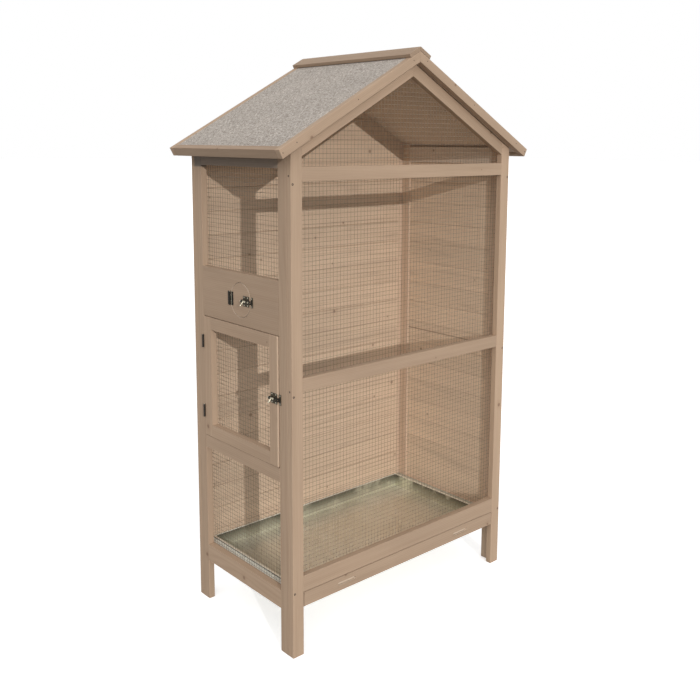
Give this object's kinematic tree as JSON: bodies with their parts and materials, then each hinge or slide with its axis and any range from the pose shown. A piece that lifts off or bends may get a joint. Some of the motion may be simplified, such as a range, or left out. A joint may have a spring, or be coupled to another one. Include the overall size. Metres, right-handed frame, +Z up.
{
  "type": "bird aviary",
  "caption": "Gabled wooden bird aviary on four legs, open mesh on the front and left, boarded back and right, with a side door, a feeding hatch and a pull-out tray.",
  "frame": {"origin": "on the ground, under the middle of the aviary", "axes": "+X to the right along the wide front, +Y to the back, +Z up"},
  "size_m": [1.016, 0.552, 1.7301],
  "materials": {
    "fir_wood": "planed softwood with a thin beige stain",
    "mineral_felt": "grey mineral grit on bitumen felt",
    "galvanised_sheet": "dull galvanised sheet",
    "welded_mesh": "weathered galvanised welded wire",
    "zinc_plated_steel": "zinc plate",
    "dark_steel": "dark satin coating"
  },
  "bodies": {
    "cage": {"front_left_stile": "fir_wood", "front_right_stile": "fir_wood", "front_left_rafter": "fir_wood", "front_right_rafter": "fir_wood", "front_top_rail": "fir_wood", "front_mid_rail": "fir_wood", "front_bottom_rail": "fir_wood", "front_net": "welded_mesh", "left_front_stile": "fir_wood", "left_rear_stile": "fir_wood", "left_top_rail": "fir_wood", "left_bottom_rail": "fir_wood", "left_sill_rail": "fir_wood", "left_hatch_board": "fir_wood", "left_upper_net": "welded_mesh", "left_lower_net": "welded_mesh", "right_front_stile": "fir_wood", "right_rear_stile": "fir_wood", "right_bottom_rail": "fir_wood", "right_top_rail": "fir_wood", "right_boards": "fir_wood", "back_left_stile": "fir_wood", "back_right_stile": "fir_wood", "back_boards": "fir_wood", "left_runner": "fir_wood", "right_runner": "fir_wood", "left_roof_deck": "fir_wood", "left_eave_strip": "fir_wood", "front_left_bargeboard": "fir_wood", "back_left_bargeboard": "fir_wood", "left_ridge_cap": "fir_wood", "right_roof_deck": "fir_wood", "right_eave_strip": "fir_wood", "front_right_bargeboard": "fir_wood", "back_right_bargeboard": "fir_wood", "right_ridge_cap": "fir_wood", "roof_felt": "mineral_felt", "door_upper_hinge_frame_leaf": "dark_steel", "door_upper_hinge_pin": "zinc_plated_steel", "door_lower_hinge_frame_leaf": "dark_steel", "door_lower_hinge_pin": "zinc_plated_steel", "door_bolt_keeper": "zinc_plated_steel", "hatch_hinge_frame_leaf": "dark_steel", "hatch_hinge_pin": "zinc_plated_steel", "hatch_bolt_keeper": "zinc_plated_steel"},
    "door": {"door_hinge_stile": "fir_wood", "door_free_stile": "fir_wood", "door_bottom_rail": "fir_wood", "door_top_rail": "fir_wood", "door_net": "welded_mesh", "door_upper_hinge_door_leaf": "dark_steel", "door_lower_hinge_door_leaf": "dark_steel", "door_bolt_plate": "zinc_plated_steel"},
    "door_bolt": {"door_bolt_rod": "dark_steel"},
    "hatch": {"hatch_panel": "fir_wood", "hatch_hinge_panel_leaf": "dark_steel", "hatch_bolt_plate": "zinc_plated_steel"},
    "hatch_bolt": {"hatch_bolt_rod": "dark_steel"},
    "tray_drawer": {"tray_front": "fir_wood", "tray": "galvanised_sheet"}
  },
  "joints": [
    {"name": "door_swing", "type": "hinge", "parent": "cage", "child": "door", "pos_m": [-0.4555, 0.194, 0.739], "axis": [0, 0, -1], "range_deg": [0, 170]},
    {"name": "door_bolt_slide", "type": "slide", "parent": "door", "child": "door_bolt", "axis": [0, -1, 0], "range_m": [0, 0.013]},
    {"name": "hatch_swing", "type": "hinge", "parent": "cage", "child": "hatch", "pos_m": [-0.4535, 0.04475, 1.003], "axis": [0, 0, -1], "range_deg": [0, 160]},
    {"name": "hatch_bolt_slide", "type": "slide", "parent": "hatch", "child": "hatch_bolt", "axis": [0, -1, 0], "range_m": [0, 0.013]},
    {"name": "tray_slide", "type": "slide", "parent": "cage", "child": "tray_drawer", "axis": [0, -1, 0], "range_m": [0, 0.4]}
  ]
}
